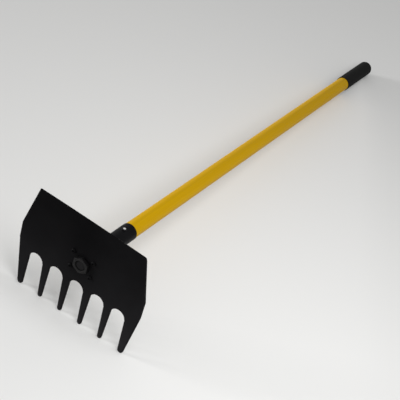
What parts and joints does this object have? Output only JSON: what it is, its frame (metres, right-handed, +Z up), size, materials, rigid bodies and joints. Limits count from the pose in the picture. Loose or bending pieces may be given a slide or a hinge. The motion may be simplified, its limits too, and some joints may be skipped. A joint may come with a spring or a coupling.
{
  "type": "mcleod rake",
  "caption": "Fire rake with a flat steel head, hoe edge above and tines below, on a long fibreglass handle with a rubber grip.",
  "frame": {"origin": "on the ground, under the middle of the tool as it lies on its tine tips and the far end of its grip", "axes": "+X across the head, +Y from the head along the handle, +Z up"},
  "size_m": [0.2694, 1.2607, 0.2344],
  "materials": {
    "head_paint": "thin black paint on flat steel, dull satin, a little uneven",
    "socket_enamel": "black enamel, semi-gloss",
    "fastener_steel": "black paint worn to dark steel on the corners",
    "bright_rivet": "bright steel rivet head",
    "handle_resin": "yellow resin over glass fibre, satin, with faint lengthwise streaks",
    "core_resin": "pale glass filled resin, hidden inside",
    "grip_rubber": "matte black rubber"
  },
  "bodies": {
    "root": {"head_plate": "head_paint", "socket_base": "socket_enamel", "socket_tube": "socket_enamel", "centre_bolt": "fastener_steel", "centre_nut": "fastener_steel", "head_rivet_1": "fastener_steel", "head_rivet_2": "fastener_steel", "head_rivet_3": "fastener_steel", "head_rivet_4": "fastener_steel", "socket_rivet": "bright_rivet", "handle_tube": "handle_resin", "handle_core": "core_resin", "end_plug": "core_resin", "hand_grip": "grip_rubber"}
  },
  "joints": []
}
